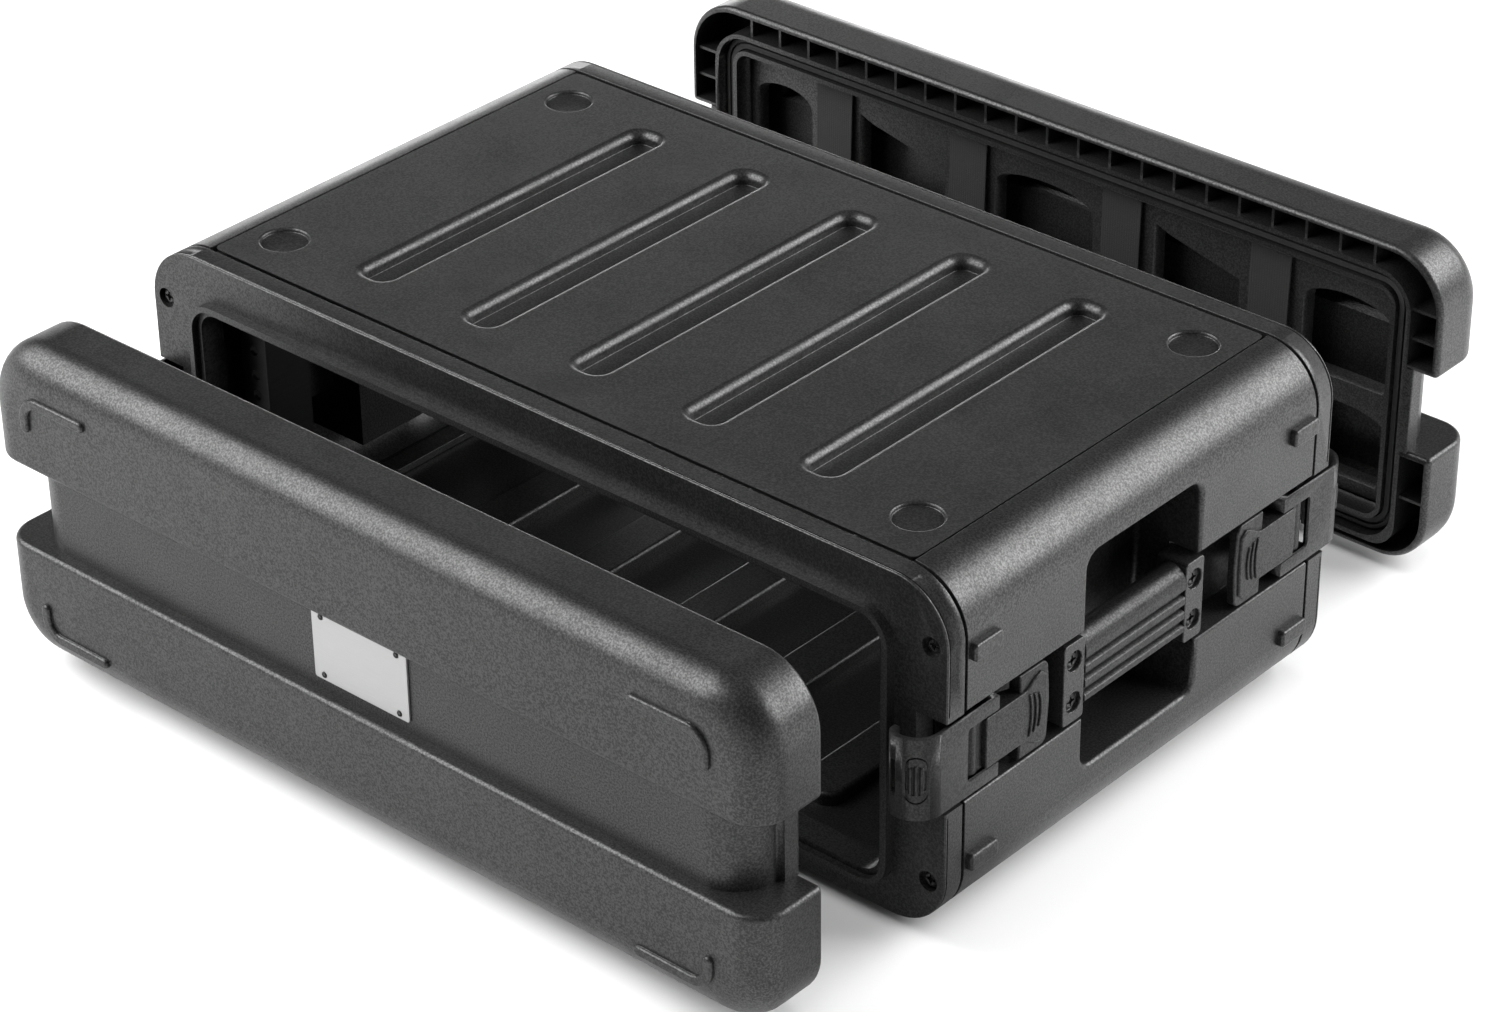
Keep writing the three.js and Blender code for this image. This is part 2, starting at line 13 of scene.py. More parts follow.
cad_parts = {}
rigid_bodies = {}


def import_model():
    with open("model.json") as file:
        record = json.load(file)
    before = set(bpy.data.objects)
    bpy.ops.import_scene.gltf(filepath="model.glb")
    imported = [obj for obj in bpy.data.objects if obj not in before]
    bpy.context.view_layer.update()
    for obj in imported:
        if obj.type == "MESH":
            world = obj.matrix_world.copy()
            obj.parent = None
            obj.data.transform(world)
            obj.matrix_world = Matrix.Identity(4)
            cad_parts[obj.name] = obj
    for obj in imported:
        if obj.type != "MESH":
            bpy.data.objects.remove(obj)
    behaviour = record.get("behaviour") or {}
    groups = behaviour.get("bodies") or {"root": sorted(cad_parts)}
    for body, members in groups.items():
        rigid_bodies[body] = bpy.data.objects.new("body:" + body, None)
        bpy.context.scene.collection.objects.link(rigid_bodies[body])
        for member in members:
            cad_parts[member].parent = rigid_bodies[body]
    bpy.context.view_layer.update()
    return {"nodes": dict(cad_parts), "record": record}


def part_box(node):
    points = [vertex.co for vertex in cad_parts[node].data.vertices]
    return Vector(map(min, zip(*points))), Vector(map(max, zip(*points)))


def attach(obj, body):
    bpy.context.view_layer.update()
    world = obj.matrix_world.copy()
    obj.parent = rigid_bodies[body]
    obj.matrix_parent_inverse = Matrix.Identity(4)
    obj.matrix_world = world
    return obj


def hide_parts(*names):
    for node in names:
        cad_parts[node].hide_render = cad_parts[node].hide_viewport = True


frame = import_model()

MM = 0.001
NODES = frame["nodes"]
RECORD = frame["record"]
SLOT_OF = {row["node"]: row["material_slot"] for row in RECORD["subparts"]}
BODY_OF = {node: body for body, nodes in RECORD["behaviour"]["bodies"].items() for node in nodes}

# The body. Its outer sizes come from the frame's boxes, the rest is drawn to fit them.
LIP_OUT = 6.0  # the lip round each opening stands this far out of the frame's face
ORIGIN = Vector((0.0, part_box("front_frame")[0][1] + LIP_OUT * MM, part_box("front_frame")[0][2]))


def box_mm(node):
    """A node's lowest and highest corners in case millimetres."""
    return [[round((v - o) / MM, 2) for v, o in zip(corner, ORIGIN)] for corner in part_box(node)]


BODY_D = box_mm("rear_frame")[1][1] - LIP_OUT
BODY_HALF = box_mm("front_frame")[1][0]
BODY_H = box_mm("front_frame")[1][2]
FRAME_T = 13.9
TOP_R = 34.0
BOTTOM_R = 34.0
WALL = 4.0
OPEN_HALF = 245.0
OPEN_Z = (21.4, 174.0)
CHANNEL_X = 266.0  # floor of the latch channel along each side
CHANNEL_Z = (76.0, 130.0)
LATCH_Z = sum(CHANNEL_Z) / 2
PIN = (279.0, 24.0)  # x and y of the pin that the lever turns on
LINK = (276.0, 36.5)  # x and y of the pin that joins strap to lever
COVER_D = 46.0  # from a cover's rim to its bumpers' outer face
WAIST_D = 37.5  # from a cover's rim to its waist's outer face
BEYOND = 20.0  # how far a cutter runs past the surface that it opens
EDGE_STEPS = 4  # flats in a block's rounded end edge
BEVEL_ANGLE = 32.0  # edges sharper than this are rounded
SHADING_ANGLE = 40.0  # edges sharper than this stay sharp in the shading
FRONT_RIM_Y = box_mm("front_cover_shell")[1][1]
REAR_RIM_Y = box_mm("rear_cover_shell")[0][1]


# ---- mesh kit ------------------------------------------------------------------

def arc(cu, cv, radius, start, end, steps):
    turn = [math.radians(start + (end - start) * i / steps) for i in range(steps + 1)]
    return [(cu + radius * math.cos(a), cv + radius * math.sin(a)) for a in turn]


def rounded(u0, u1, v0, v1, low_r, high_r=None, steps=8):
    """Rounded rectangle, counterclockwise, with its own radius for the two high corners."""
    high_r = low_r if high_r is None else high_r
    return [*arc(u0 + low_r, v0 + low_r, low_r, 180, 270, steps),
            *arc(u1 - low_r, v0 + low_r, low_r, 270, 360, steps),
            *arc(u1 - high_r, v1 - high_r, high_r, 0, 90, steps),
            *arc(u0 + high_r, v1 - high_r, high_r, 90, 180, steps)]


def circle(cu, cv, radius, steps=32):
    return arc(cu, cv, radius, 0, 360, steps)[:-1]


def inset(outline, distance):
    """Moves every side of a counterclockwise outline inwards."""
    out = []
    count = len(outline)
    for i, (u, v) in enumerate(outline):
        before = Vector(outline[i]) - Vector(outline[i - 1])
        after = Vector(outline[(i + 1) % count]) - Vector(outline[i])
        n1 = Vector((-before.y, before.x)).normalized()
        n2 = Vector((-after.y, after.x)).normalized()
        step = (n1 + n2) * (distance / max(1 + n1.dot(n2), 0.3))
        out.append((u + step.x, v + step.y))
    return out


# An outline's (u, v) and its level along an axis, as a point
TO_POINT = {
    "x": lambda u, v, level: (level, u, v),
    "y": lambda u, v, level: (u, level, v),
    "z": lambda u, v, level: (u, v, level),
}


def skin(loops):
    """Closed mesh through loops of equal length, capped at both ends."""
    bm = bmesh.new()
    rows = [[bm.verts.new(p) for p in loop] for loop in loops]
    count = len(loops[0])
    for a, b in zip(rows, rows[1:]):
        for i in range(count):
            bm.faces.new((a[i], a[(i + 1) % count], b[(i + 1) % count], b[i]))
    bm.faces.new(rows[0])
    bm.faces.new(rows[-1])
    bmesh.ops.recalc_face_normals(bm, faces=bm.faces)
    mesh = bpy.data.meshes.new("skin")
    bm.to_mesh(mesh)
    bm.free()
    return mesh


def stack(outline, rings, axis):
    """Closed mesh through copies of an outline, each inset by its own distance at its own level."""
    return skin([[TO_POINT[axis](u, v, level) for u, v in inset(outline, d)] for d, level in rings])


def slab(outline, low, high, axis, low_r=0.0, high_r=0.0):
    """Straight-sided block whose end edges are rounded by low_r and high_r."""
    quarter = [math.pi / 2 * i / EDGE_STEPS for i in range(EDGE_STEPS + 1)]
    rings = [(low_r * (1 - math.sin(t)), low + low_r * (1 - math.cos(t))) for t in quarter if low_r]
    rings = rings or [(0.0, low)]
    ends = [(high_r * (1 - math.cos(t)), high - high_r * (1 - math.sin(t))) for t in quarter if high_r]
    return stack(outline, rings + (ends or [(0.0, high)]), axis)


def sunk(outline, bottom, surface, axis, floor_r, mouth_r, steps=5):
    """Cutter for a straight-sided recess, rounded at its floor and flared at its mouth."""
    up = 1 if surface > bottom else -1
    quarter = [math.pi / 2 * i / steps for i in range(steps + 1)]
    rings = [(floor_r * (1 - math.sin(t)), bottom + up * floor_r * (1 - math.cos(t))) for t in quarter]
    rings += [(-mouth_r * (1 - math.cos(t)), surface - up * mouth_r * (1 - math.sin(t))) for t in quarter]
    rings.append((-mouth_r, surface + up * BEYOND))
    return stack(outline, rings, axis)


def block(x0, x1, y0, y1, z0, z1):
    return stack([(x0, y0), (x1, y0), (x1, y1), (x0, y1)], [(0, z0), (0, z1)], "z")


def rod(cu, cv, radius, low, high, axis, steps=24):
    return stack(circle(cu, cv, radius, steps), [(0, low), (0, high)], axis)


def evaluated(holder):
    bpy.context.view_layer.update()
    return bpy.data.meshes.new_from_object(holder.evaluated_get(bpy.context.evaluated_depsgraph_get()))


def boolean(operation, base, others):
    scene = bpy.context.scene.collection.objects
    holder = bpy.data.objects.new("work", base)
    scene.link(holder)
    tools = []
    for mesh in others:
        tool = bpy.data.objects.new("tool", mesh)
        scene.link(tool)
        tools.append(tool)
        step = holder.modifiers.new("step", "BOOLEAN")
        step.operation = operation
        step.solver = "MANIFOLD"
        step.object = tool
    result = evaluated(holder)
    for obj in [holder, *tools]:
        mesh = obj.data
        bpy.data.objects.remove(obj)
        if mesh.users == 0:
            bpy.data.meshes.remove(mesh)
    return result


def add(base, *others):
    return boolean("UNION", base, others)


def cut(base, *others):
    return boolean("DIFFERENCE", base, others)


def keep(base, *others):
    return boolean("INTERSECT", base, others)


def moved(mesh, matrix):
    """A copy of a mesh moved by a matrix, still facing outwards if that mirrors it."""
    out = mesh.copy()
    out.transform(matrix)
    if matrix.determinant() < 0:
        out.flip_normals()
    return out


def mirror_x():
    return Matrix.Diagonal((-1, 1, 1, 1))


def mirror_y(centre):
    return Matrix.Translation((0, 2 * centre, 0)) @ Matrix.Diagonal((1, -1, 1, 1))


def soften(obj, width, segments=3):
    """Rounds the hard edges of a piece and shades it smooth, by modifiers only."""
    mesh = obj.data
    mesh.polygons.foreach_set("use_smooth", [True] * len(mesh.polygons))
    weld = obj.modifiers.new("weld", "WELD")
    weld.merge_threshold = 0.002 if mesh.get("in_mm") else 0.00001
    flat = obj.modifiers.new("flat_faces", "DECIMATE")
    flat.decimate_type = "DISSOLVE"
    flat.angle_limit = math.radians(0.6)
    if width > 0:
        bevel = obj.modifiers.new("edges", "BEVEL")
        bevel.width = width
        bevel.segments = segments
        bevel.limit_method = "ANGLE"
        bevel.angle_limit = math.radians(BEVEL_ANGLE)
        bevel.harden_normals = True
    normals = obj.modifiers.new("normals", "WEIGHTED_NORMAL")
    normals.keep_sharp = True
    normals.weight = 100


def eased(mesh, width, segments=3):
    """The same mesh, in millimetres, with its hard edges rounded."""
    holder = bpy.data.objects.new("work", mesh)
    mesh["in_mm"] = True
    bpy.context.scene.collection.objects.link(holder)
    soften(holder, width, segments)
    holder.modifiers.remove(holder.modifiers["normals"])
    result = evaluated(holder)
    bpy.data.objects.remove(holder)
    return result


def place(name, mesh, *nodes, slot=None, body=None, ease=0.0):
    """Puts a finished shape into the frame in place of the nodes that it stands for."""
    mesh = mesh.copy()
    mesh.name = name
    mesh.transform(Matrix.Translation(ORIGIN) @ Matrix.Scale(MM, 4))
    mesh.materials.clear()
    obj = bpy.data.objects.new(name, mesh)
    bpy.context.scene.collection.objects.link(obj)
    slot = slot or SLOT_OF[nodes[0]]
    paint(obj, slot)
    soften(obj, ease * MM)
    mesh.set_sharp_from_angle(angle=math.radians(SHADING_ANGLE))
    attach(obj, body or BODY_OF[nodes[0]])
    if nodes:
        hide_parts(*nodes)
    return obj


def at_corners(name, mesh, **settings):
    """A front right piece and its mirror images at the other three corners."""
    rear = mirror_y(BODY_D / 2)
    moves = {"front_right": Matrix(), "front_left": mirror_x(), "rear_right": rear,
             "rear_left": mirror_x() @ rear}
    for corner, move in moves.items():
        place(f"{corner}_{name}_look", moved(mesh, move), f"{corner}_{name}", **settings)


def at_sides(name, mesh, **settings):
    for side, move in {"right": Matrix(), "left": mirror_x()}.items():
        place(f"{side}_{name}_look", moved(mesh, move), f"{side}_{name}", **settings)


# ---- materials -------------------------------------------------------------------

class Nodes:
    """A small helper that builds a node material from the top down."""

    def __init__(self, name):
        self.mat = bpy.data.materials.new(name)
        self.mat.use_nodes = True
        self.tree = self.mat.node_tree
        self.shader = self.tree.nodes["Principled BSDF"]
        self.coord = self.tree.nodes.new("ShaderNodeTexCoord").outputs["Object"]

    def add(self, kind, inputs=(), **settings):
        node = self.tree.nodes.new(kind)
        for key, value in settings.items():
            setattr(node, key, value)
        for key, value in dict(inputs).items():
            self.put(node.inputs[key], value)
        return node

    def put(self, socket, value):
        if isinstance(value, bpy.types.NodeSocket):
            self.tree.links.new(value, socket)
        else:
            socket.default_value = value

    def noise(self, scale, detail=3.0, roughness=0.6, vector=None):
        inputs = {"Vector": vector or self.coord, "Scale": scale, "Detail": detail, "Roughness": roughness}
        return self.add("ShaderNodeTexNoise", inputs).outputs["Fac"]

    def stretched(self, x, y, z):
        return self.add("ShaderNodeMapping", {"Vector": self.coord, "Scale": (x, y, z)}).outputs["Vector"]

    def remap(self, value, low, high, to_low, to_high):
        inputs = {"Value": value, "From Min": low, "From Max": high, "To Min": to_low, "To Max": to_high}
        return self.add("ShaderNodeMapRange", inputs).outputs["Result"]

    def mix(self, factor, a, b):
        # sockets 6 and 7 are a colour mix's two colours, and 2 is its result
        node = self.add("ShaderNodeMix", {"Factor": factor}, data_type="RGBA")
        self.put(node.inputs[6], a)
        self.put(node.inputs[7], b)
        return node.outputs[2]

    def bump(self, height, strength, distance, normal=None):
        inputs = {"Height": height, "Strength": strength, "Distance": distance}
        if normal is not None:
            inputs["Normal"] = normal
        return self.add("ShaderNodeBump", inputs).outputs["Normal"]

    def edges(self, low, high):
        point = self.add("ShaderNodeNewGeometry").outputs["Pointiness"]
        return self.remap(point, low, high, 0.0, 1.0)

    def finish(self, **inputs):
        names = {"color": "Base Color", "roughness": "Roughness", "metallic": "Metallic",
                 "normal": "Normal", "sheen": "Sheen Weight", "specular": "Specular IOR Level"}
        for key, value in inputs.items():
            self.put(self.shader.inputs[names[key]], value)
        return self.mat


def grey(value, tint=0.0):
    return (value, value * (1 + tint * 0.3), value * (1 + tint), 1.0)


def moulded_plastic(name, dark, light, roughness, grain, shine):
    """Satin moulded plastic: fine spark-eroded grain, slight flow mottling, edges rubbed paler."""
    n = Nodes(name)
    mottle = n.noise(9.0, 4.0)
    speck = n.noise(900.0, 1.0, 0.6)
    base = n.mix(n.remap(mottle, 0.35, 0.65, 0.0, 1.0), grey(dark), grey(light))
    base = n.mix(n.remap(speck, 0.48, 0.72, 0.0, 0.45), base, grey(light * 2.4))
    base = n.mix(n.remap(n.edges(0.53, 0.62), 0.0, 1.0, 0.0, 0.3), base, grey(light * 3.0))
    rough = n.remap(n.noise(30.0, 5.0), 0.3, 0.7, roughness - 0.05, roughness + 0.06)
    fine = n.bump(n.noise(950.0, 1.0, 0.6), grain, 0.00012)
    waves = n.bump(n.noise(22.0, 2.0), 0.12, 0.0006, fine)
    gloss = n.remap(speck, 0.35, 0.65, 0.6 * shine, 1.4 * shine)
    return n.finish(color=base, roughness=rough, normal=waves, specular=gloss)


def rubber():
    n = Nodes("soft_rubber")
    base = n.mix(n.noise(60.0, 4.0), grey(0.012), grey(0.03))
    dust = n.mix(n.remap(n.noise(400.0, 3.0), 0.55, 0.8, 0.0, 0.3), base, grey(0.09))
    return n.finish(color=dust, roughness=0.7, normal=n.bump(n.noise(900.0), 0.4, 0.0002), specular=0.4)


def zinc_steel():
    n = Nodes("zinc_plated_steel")
    brushed = n.noise(40.0, 5.0, 0.7, n.stretched(1.0, 1.0, 30.0))
    base = n.mix(brushed, grey(0.03), grey(0.07))
    rough = n.remap(brushed, 0.3, 0.7, 0.30, 0.5)
    return n.finish(color=base, roughness=rough, metallic=1.0, normal=n.bump(brushed, 0.1, 0.0001))


def black_steel():
    n = Nodes("black_oxide_steel")
    worn = n.remap(n.edges(0.52, 0.60), 0.0, 1.0, 0.0, 0.8)
    base = n.mix(worn, grey(0.010), grey(0.10))
    rough = n.remap(n.noise(300.0, 4.0), 0.3, 0.7, 0.3, 0.5)
    return n.finish(color=base, roughness=rough, metallic=0.85, normal=n.bump(n.noise(700.0), 0.2, 0.0001))


def brushed_plate():
    n = Nodes("brushed_aluminium")
    lines = n.noise(60.0, 6.0, 0.75, n.stretched(1.0, 1.0, 45.0))
    base = n.mix(lines, grey(0.38), grey(0.56))
    rough = n.remap(lines, 0.3, 0.7, 0.40, 0.56)
    return n.finish(color=base, roughness=rough, metallic=0.9, normal=n.bump(lines, 0.12, 0.00008))


def webbing():
    """Flat woven strap: fine ribs across, a twill line, fuzzy surface."""
    n = Nodes("woven_webbing")
    across = n.add("ShaderNodeTexWave", {"Vector": n.coord, "Scale": 260.0, "Distortion": 0.6,
                                         "Detail": 1.0}, bands_direction="Z").outputs["Fac"]
    along = n.add("ShaderNodeTexWave", {"Vector": n.coord, "Scale": 180.0, "Distortion": 0.4},
                  bands_direction="X").outputs["Fac"]
    weave = n.mix(0.45, across, along)
    base = n.mix(n.noise(500.0, 3.0), grey(0.010), grey(0.020))
    base = n.mix(n.remap(across, 0.0, 1.0, 0.0, 0.35), base, grey(0.005))
    return n.finish(color=base, roughness=0.85, normal=n.bump(weave, 0.5, 0.0003), sheen=0.06)


MATERIALS = {
    "shell_plastic": moulded_plastic("moulded_plastic", 0.008, 0.012, 0.37, 0.35, 0.5),
    "latch_plastic": moulded_plastic("latch_plastic", 0.007, 0.010, 0.38, 0.35, 0.3),
    "liner": moulded_plastic("liner_sheet", 0.012, 0.018, 0.42, 0.4, 0.5),
    "rubber": rubber(),
    "steel": zinc_steel(),
    "black_steel": black_steel(),
    "plate_metal": brushed_plate(),
    "webbing": webbing(),
}


def paint(obj, slot):
    obj.data.materials.clear()
    obj.data.materials.append(MATERIALS[slot])


# ---- end frames and panels ---------------------------------------------------------

SCREW_X = 275.0
SCREW_Z = (31.0, 171.0)
HEAD_R = 5.0
HEAD_GAP = 0.9  # round a screw's head in its seat
SEAT_D = 3.6
SCREW_HOLE_R = 2.8
RIM = 7.2  # width of the lip round the opening
GASKET_STEP = (3.7, 2.2)  # step inside the lip: its width, and how far in front of the face it ends


def end_frame():
    outline = rounded(-BODY_HALF, BODY_HALF, 0, BODY_H, BOTTOM_R, TOP_R, 14)
    shell = slab(outline, 0, FRAME_T - 0.3, "y", low_r=0.9, high_r=0.4)

    def opening(wider, front, back):
        half = OPEN_HALF + wider
        ring = rounded(-half, half, OPEN_Z[0] - wider, OPEN_Z[1] + wider, 12 + wider)
        return stack(ring, [(0, front), (0, back)], "y")

    shell = add(shell, opening(RIM, -LIP_OUT, 1))
    step_width, step_front = GASKET_STEP
    cuts = [opening(step_width, -LIP_OUT - 1, -step_front), opening(0, -LIP_OUT - 2, FRAME_T + 1)]
    for side in (-1, 1):
        near, far = sorted((side * CHANNEL_X, side * 300))
        cuts.append(block(near, far, -8, 20, *CHANNEL_Z))
        for z in SCREW_Z:
            cuts.append(rod(side * SCREW_X, z, HEAD_R + HEAD_GAP, -5, SEAT_D, "y"))
            cuts.append(rod(side * SCREW_X, z, SCREW_HOLE_R, -5, 20, "y"))
    shell = eased(cut(shell, *cuts), 0.5)
    # fine shadow line round the edge, just behind the face
    line = cut(stack(inset(outline, -5), [(0, 1.5), (0, 2.3)], "y"),
               stack(inset(outline, 0.9), [(0, -2), (0, 9)], "y"))
    channels = [block(*sorted((s * (CHANNEL_X - 3), s * 300)), -2, 4, CHANNEL_Z[0] - 3, CHANNEL_Z[1] + 3)
                for s in (-1, 1)]
    return cut(shell, cut(line, *channels))


END_GAP = 1.7  # seam between a panel or a side shell and the end frames
PANEL_GAP = 0.7  # the panel's share of the seam along a side shell
SHELL_GAP = 1.3  # the side shell's share of that seam
PANEL_HALF = box_mm("top_panel")[1][0]
PANEL_Y = (box_mm("top_panel")[0][1] + END_GAP, box_mm("top_panel")[1][1] - END_GAP)
GROOVE_PITCH = 80.0
GROOVE_HALF = 9.4
GROOVE_Y0 = 47.0
GROOVE_DEPTH = 8.0
GROOVE_MOUTH_R = 5.6
GROOVE_BACK = 5.0  # how much wider the groove's underside is on each side
FOOT_X = 227.0
FOOT_Y = 48.0
DIMPLE_R = 14.5
DIMPLE_DEPTH = 2.3


def top_panel():
    top = BODY_H
    # the edges lean in underneath, so that the seams round the panel are dark
    edge = rounded(-PANEL_HALF + PANEL_GAP, PANEL_HALF - PANEL_GAP, *PANEL_Y, 3.2, steps=2)
    sheet = stack(edge, [(2.6, top - WALL), (0.0, top - 0.35), (0.1, top - 0.1), (0.35, top)], "z")
    far = BODY_D - GROOVE_Y0
    backs = []
    grooves = []
    for index in range(-2, 3):
        x = index * GROOVE_PITCH
        back = rounded(x - GROOVE_HALF - GROOVE_BACK, x + GROOVE_HALF + GROOVE_BACK,
                       GROOVE_Y0 - 3, far + 3, 10)
        backs.append(slab(back, top - WALL - GROOVE_DEPTH, top - 2, "z", low_r=2.5))
        groove = rounded(x - GROOVE_HALF, x + GROOVE_HALF, GROOVE_Y0 + 3, far - 3, 7)
        grooves.append(sunk(groove, top - GROOVE_DEPTH, top, "z",
                            floor_r=0.5, mouth_r=GROOVE_MOUTH_R, steps=9))
    dimples = [sunk(circle(x, y, DIMPLE_R - 1), top - DIMPLE_DEPTH, top, "z", floor_r=0.6, mouth_r=1.5)
               for x in (-FOOT_X, FOOT_X) for y in (FOOT_Y, BODY_D - FOOT_Y)]
    return cut(add(sheet, *backs), *grooves, *dimples)


# ---- side shells and handles ---------------------------------------------------------

SHELL_X0 = PANEL_HALF + SHELL_GAP
CHANNEL_EDGE_R = 1.6
WELL_Y = (112.0, 208.0)
WELL_Z = (44.0, 174.0)
WELL_X = 244.0


def side_shell():
    """Skin from the bottom panel's edge round to the top panel's, with a latch channel and a handle well."""
    ends = (FRAME_T + END_GAP, BODY_D - FRAME_T - END_GAP)
    wall = BODY_HALF - WALL
    top = (BODY_HALF - TOP_R, BODY_H - TOP_R)
    low = (BODY_HALF - BOTTOM_R, BOTTOM_R)
    lip_r = CHANNEL_EDGE_R
    section = [
        (SHELL_X0, 0), *arc(*low, BOTTOM_R, -90, 0, 10)[1:],
        *arc(BODY_HALF - lip_r, CHANNEL_Z[0] - lip_r, lip_r, 0, 90, 5),
        (CHANNEL_X, CHANNEL_Z[0]), (CHANNEL_X, CHANNEL_Z[1]),
        *arc(BODY_HALF - lip_r, CHANNEL_Z[1] + lip_r, lip_r, -90, 0, 5),
        *arc(*top, TOP_R, 0, 89.5, 18), (SHELL_X0, BODY_H - WALL), (SHELL_X0, 200.1), (243, 200.1),
        (243, 195.6), (257, 195.6), *arc(*top, TOP_R - WALL, 70, 0, 10), (wall, CHANNEL_Z[1] + WALL),
        (CHANNEL_X - WALL, CHANNEL_Z[1] + WALL), (CHANNEL_X - WALL, CHANNEL_Z[0] - WALL),
        (wall, CHANNEL_Z[0] - WALL), *arc(*low, BOTTOM_R - WALL, 0, -70, 8), (257, 8.8), (243, 8.8),
        (243, 4.3), (SHELL_X0, 4.3)]
    shell = stack(section, [(0, ends[0]), (0, ends[1])], "y")
    tub = block(WELL_X - WALL, wall + 1, WELL_Y[0] - WALL, WELL_Y[1] + WALL, WELL_Z[0] - WALL,
                WELL_Z[1] + 3)
    well = sunk(rounded(*WELL_Y, *WELL_Z, 9), WELL_X, BODY_HALF, "x", floor_r=4, mouth_r=3.2)
    channel = block(CHANNEL_X, 320, ends[0] - 1, ends[1] + 1, *CHANNEL_Z)
    shell = eased(cut(add(shell, tub), channel), 0.45)
    shell = cut(shell, well)
    stops = [slab(rounded(y - 11, y + 11, z - 5, z + 5, 2.2, steps=4), BODY_HALF - 1, BODY_HALF + 4, "x",
                  high_r=1.6) for y in (28, BODY_D - 28) for z in (38, 164)]
    return add(shell, *stops)


def handle_grip():
    """Rounded above, with three grooves along its outer face for the fingertips."""
    face = 286.0
    section = [(268, 87), (269, 86), (284.6, 86), (face, 87.4)]
    for z in (91, 100, 109):
        section += [(face, z - 0.6), (face - 0.6, z), (283.2, z + 0.8),
                    (283.2, z + 3.2), (face - 0.6, z + 4), (face, z + 4.6)]
    section += arc(277, 117.5, 9, 0, 180, 20)
    low, high = box_mm("right_handle_grip")[0][1], box_mm("right_handle_grip")[1][1]
    return slab(section, low, high, "y", low_r=0.5, high_r=0.5)


HEAD_SHY = 0.5  # how much smaller a head is than its disc in the solids
HANDLE_SCREW_IN = 2.4  # head's middle, behind the outer end of the handle screw's box
FRAME_SCREW_IN = 2.2  # the same for a frame screw


def screw():
    """Pan head with a cross recess, outer side towards -Y, head centred on the origin."""
    head = slab(circle(0, 0, HEAD_R - HEAD_SHY, 28), -1.2, 1.2, "y", low_r=1.1, high_r=0.2)
    reach, half = 2.9, 0.62
    arms = [block(-reach, reach, -3, 0.3, -half, half), block(-half, half, -3, 0.3, -reach, reach)]
    pip = stack(circle(0, 0, 1.5, 16), [(0, -3), (0, -0.5), (1.3, 0.9)], "y")
    shank = rod(0, 0, 2.4, 0.5, 9.9, "y", 16)
    return add(cut(head, *arms, pip), shank)


def place_screws():
    mesh = screw()
    for node in NODES:
        if not node.endswith("screw"):
            continue
        (x0, y0, z0), (x1, y1, z1) = box_mm(node)
        centre = Vector(((x0 + x1) / 2, (y0 + y1) / 2, (z0 + z1) / 2))
        if "handle" in node:
            side = 1 if "right" in node else -1
            turn = Matrix.Rotation(side * math.pi / 2, 4, "Z")
            centre.x = x1 - HANDLE_SCREW_IN if side > 0 else x0 + HANDLE_SCREW_IN
        else:
            turn = Matrix() if "front" in node else Matrix.Rotation(math.pi, 4, "Z")
            centre.y = y0 + FRAME_SCREW_IN if "front" in node else y1 - FRAME_SCREW_IN
        place(f"{node}_look", moved(mesh, Matrix.Translation(centre) @ turn), node, ease=0.12)


# ---- rails ---------------------------------------------------------------------------

RAIL_Y = 24.0
RAIL_HOLE_X = 232.55  # half of the 465.1 mm from rail to rail
RAIL_HOLE_R = 3.2
UNIT = 44.45  # one rack unit
HOLE_STEP = 15.875  # between holes inside a unit


def rack_rail():
    """Z-shaped strip with three holes to a rack unit."""
    low, high = OPEN_Z[0] + 4, OPEN_Z[1] - 4
    section = [(223, RAIL_Y), (243.4, RAIL_Y), (243.4, RAIL_Y + 46), (261.6, RAIL_Y + 46),
               (261.6, RAIL_Y + 48), (241.4, RAIL_Y + 48), (241.4, RAIL_Y + 2), (223, RAIL_Y + 2)]
    middle = (OPEN_Z[0] + OPEN_Z[1]) / 2
    holes = [rod(RAIL_HOLE_X, middle + unit * UNIT + step, RAIL_HOLE_R, RAIL_Y - 5, RAIL_Y + 8, "y")
             for unit in (-1, 0, 1) for step in (-HOLE_STEP, 0, HOLE_STEP)]
    rail = stack(section, [(0, low), (0, high)], "z")
    return cut(rail, *holes)


# ---- latches -------------------------------------------------------------------------

STRAP_HALF = 24.0
HEAD_HALF = 25.2  # half width of the lever's T-shaped head
NECK_HALF = 15.0
LEVER_FACE = 286.4
HOOK_BEND = (270.0, -4.0)  # x and y that the strap's outer skin turns round, into the hook
BEND_R = 16.0
PAD_AT = -52.0  # where on that bend the finger pad sits, in degrees


def band(half):
    """Height range centred on the latch."""
    return (LATCH_Z - half, LATCH_Z + half)


def bowed(y, half, width, bow):
    """Outline in (y, z) of a narrow bar across the lever, bowed towards the hinge at its ends."""
    far = [(y + width / 2 - bow * (t / 6) ** 2, LATCH_Z + half * t / 6) for t in range(-6, 7)]
    near = [(y - width / 2 - bow * (t / 6) ** 2, LATCH_Z + half * t / 6) for t in range(6, -7, -1)]
    return far + near


